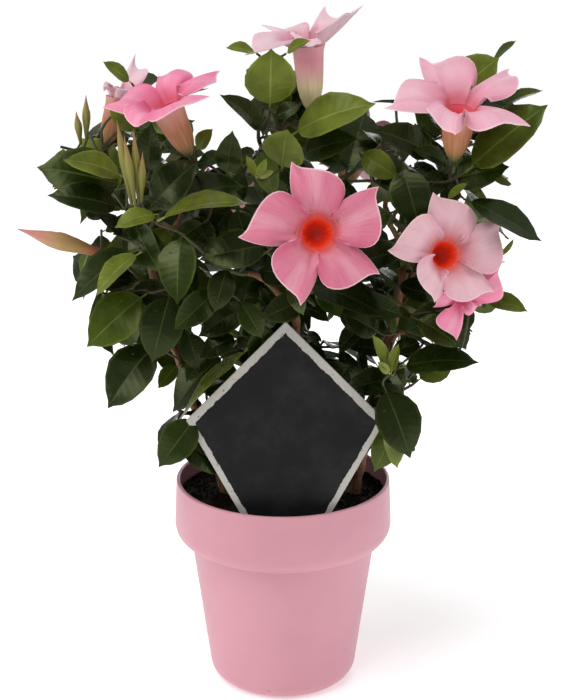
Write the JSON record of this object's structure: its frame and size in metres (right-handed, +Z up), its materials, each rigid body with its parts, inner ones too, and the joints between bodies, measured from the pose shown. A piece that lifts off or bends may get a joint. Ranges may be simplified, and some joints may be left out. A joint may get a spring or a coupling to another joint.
{
  "type": "potted mandevilla",
  "caption": "Bushy twining pot plant with glossy dark leaves and pink trumpet blooms on woody stems, in a round banded plastic pot with a blank plant label.",
  "frame": {"origin": "centre of the pot's flat underside", "axes": "+Z up along the pot's axis, -Y the front where the label and the large bloom face, +X to the right"},
  "size_m": [0.3676, 0.3414, 0.5273],
  "materials": {
    "pot_plastic": "satin pink moulded plastic",
    "compost": "moist dark potting compost",
    "label_card": "matt slate-grey card with a pale border",
    "bark": "thin brown bark",
    "leaf": "glossy dark green leaves",
    "petal": "soft pink petals",
    "bud": "ochre bud with a pink tip"
  },
  "bodies": {
    "root": {"pot": "pot_plastic", "soil": "compost", "plant_label": "label_card", "stem_left": "bark", "stem_right": "bark", "stem_middle": "bark", "stem_back": "bark", "stem_front": "bark", "bough_left_mid": "bark", "bough_left_low": "bark", "bough_lower_left": "bark", "bough_upper_left_inner": "bark", "bough_middle_left": "bark", "bough_middle_right": "bark", "bough_right_inner": "bark", "bough_right_mid": "bark", "bough_lower_right": "bark", "bough_right_low": "bark", "bough_side_left": "bark", "bough_side_right": "bark", "bough_back_upper_left": "bark", "bough_back_upper_right": "bark", "bough_back_left": "bark", "bough_back_right": "bark", "bough_back_low": "bark", "bloom_front": "petal", "bloom_right": "petal", "bloom_upper_right": "petal", "bloom_upper_left": "petal", "bloom_top": "petal", "bud_left": "bud", "bloom_back_left": "petal", "bloom_back_right": "petal", "foliage_upper_left": "leaf", "foliage_left_mid": "leaf", "foliage_left_low": "leaf", "foliage_lower_left": "leaf", "foliage_upper_left_inner": "leaf", "foliage_top_middle": "leaf", "foliage_middle_left": "leaf", "foliage_middle_right": "leaf", "foliage_front_low": "leaf", "foliage_upper_right": "leaf", "foliage_right_inner": "leaf", "foliage_right_mid": "leaf", "foliage_lower_right": "leaf", "foliage_right_low": "leaf", "foliage_side_left": "leaf", "foliage_side_right": "leaf", "foliage_back_upper_left": "leaf", "foliage_back_upper_right": "leaf", "foliage_back_top": "leaf", "foliage_back_left": "leaf", "foliage_back_right": "leaf", "foliage_back_low": "leaf"}
  },
  "joints": []
}
